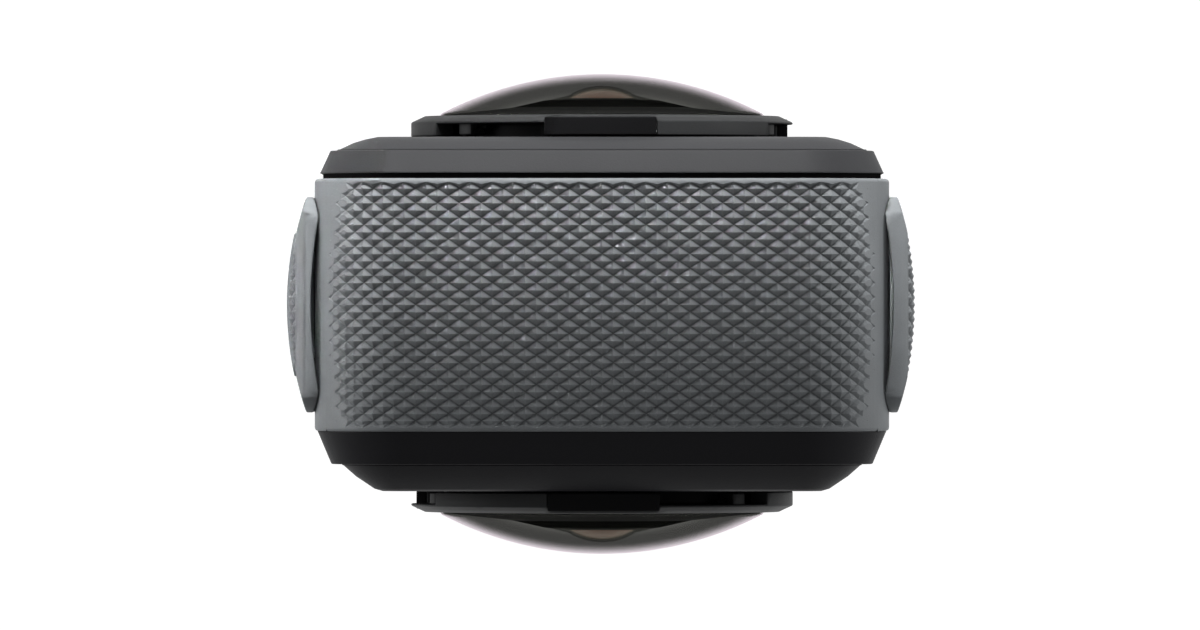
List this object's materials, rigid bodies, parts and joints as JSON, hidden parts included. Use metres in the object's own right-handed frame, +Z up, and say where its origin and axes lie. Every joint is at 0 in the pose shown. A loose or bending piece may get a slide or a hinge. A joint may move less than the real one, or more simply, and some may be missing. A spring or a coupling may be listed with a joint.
{
  "type": "360 degree camera",
  "caption": "Compact two-lens 360 degree camera with a knurled grip band, domed twist-off lens guards, a latched battery door, side buttons and folding mount fingers.",
  "frame": {"origin": "centre of the tripod socket's mouth, in the base face", "axes": "+Z up, front lens along -Y, rear lens and display along +Y, battery door on -X, buttons on +X"},
  "size_m": [0.064, 0.0492, 0.0696],
  "materials": {
    "frame_plastic": "satin",
    "grip_rubber": "matte",
    "rear_plastic": "satin",
    "front_plastic": "satin",
    "ring_plastic": "satin",
    "dark_plastic": "matte",
    "seal_rubber": "matte",
    "dome_glass": "coated",
    "lens_glass": "coated",
    "screen_glass": "gloss",
    "screen_panel": "gloss",
    "steel": "bright",
    "light_metal": "satin",
    "circuit_board": "satin",
    "battery_wrap": "satin",
    "contact_metal": "bright",
    "light_pipe": "gloss"
  },
  "bodies": {
    "camera_body": {"middle_frame": "frame_plastic", "grip_band": "grip_rubber", "side_pad": "grip_rubber", "front_bezel": "front_plastic", "front_plate": "front_plastic", "rear_seal": "seal_rubber", "rear_bezel": "rear_plastic", "rear_plate": "rear_plastic", "display_glass": "screen_glass", "display_panel": "screen_panel", "cover_screws": "steel", "base_tray": "dark_plastic", "tripod_insert": "steel", "base_screws": "steel", "finger_pins": "steel", "finger_magnets": "steel", "front_lens_mount": "dark_plastic", "rear_lens_mount": "dark_plastic", "lens_gaskets": "seal_rubber", "front_lens_barrel": "dark_plastic", "rear_lens_barrel": "dark_plastic", "front_fisheye": "lens_glass", "rear_fisheye": "lens_glass", "lens_baffles": "dark_plastic", "inner_lenses": "lens_glass", "image_sensors": "dark_plastic", "sensor_boards": "circuit_board", "chassis_plate": "light_metal", "main_board": "circuit_board", "processor_shield": "steel", "heat_spreader": "light_metal", "battery_cage": "frame_plastic", "battery": "battery_wrap", "battery_contacts": "contact_metal", "usb_socket": "steel", "card_socket": "steel", "button_board": "circuit_board", "button_switches": "steel", "button_seals": "seal_rubber", "speaker": "dark_plastic", "speaker_mesh": "steel", "microphones": "steel", "status_lights": "light_pipe", "door_hinge_pin": "steel"},
    "battery_door": {"battery_door": "grip_rubber", "door_seal": "seal_rubber"},
    "door_latch": {"door_latch": "frame_plastic"},
    "shutter_button": {"shutter_button": "frame_plastic"},
    "power_button": {"power_button": "frame_plastic"},
    "left_finger": {"left_finger": "frame_plastic"},
    "right_finger": {"right_finger": "frame_plastic"},
    "front_guard": {"front_guard_ring": "ring_plastic", "front_grip_inserts": "dark_plastic", "front_dome": "dome_glass"},
    "rear_guard": {"rear_guard_ring": "ring_plastic", "rear_grip_inserts": "dark_plastic", "rear_dome": "dome_glass"},
    "memory_card": {"memory_card": "dark_plastic"}
  },
  "joints": [
    {"name": "door_hinge", "type": "hinge", "parent": "camera_body", "child": "battery_door", "pos_m": [-0.0304, 0.00094, 0.0076], "axis": [0, -1, 0], "range_deg": [0, 90]},
    {"name": "latch_slide", "type": "slide", "parent": "battery_door", "child": "door_latch", "axis": [0, 0, 1], "range_m": [0, 0.0025]},
    {"name": "shutter_press", "type": "slide", "parent": "camera_body", "child": "shutter_button", "axis": [-1, 0, 0], "range_m": [0, 0.0006], "stiffness_N_per_m": 2000},
    {"name": "power_press", "type": "slide", "parent": "camera_body", "child": "power_button", "axis": [-1, 0, 0], "range_m": [0, 0.0006], "stiffness_N_per_m": 2000},
    {"name": "left_finger_fold", "type": "hinge", "parent": "camera_body", "child": "left_finger", "pos_m": [-0.0031, 0, 0.0016], "axis": [0, -1, 0], "range_deg": [0, 90]},
    {"name": "right_finger_fold", "type": "hinge", "parent": "camera_body", "child": "right_finger", "pos_m": [0.0031, 0, 0.0016], "axis": [0, 1, 0], "range_deg": [0, 90]},
    {"name": "front_guard_twist", "type": "hinge", "parent": "camera_body", "child": "front_guard", "pos_m": [0, -0.018, 0.043], "axis": [0, -1, 0], "range_deg": [0, 25]},
    {"name": "rear_guard_twist", "type": "hinge", "parent": "camera_body", "child": "rear_guard", "pos_m": [0, 0.018, 0.043], "axis": [0, 1, 0], "range_deg": [0, 25]},
    {"name": "card_push", "type": "slide", "parent": "camera_body", "child": "memory_card", "axis": [1, 0, 0], "range_m": [0, 0.0006], "stiffness_N_per_m": 1000}
  ]
}
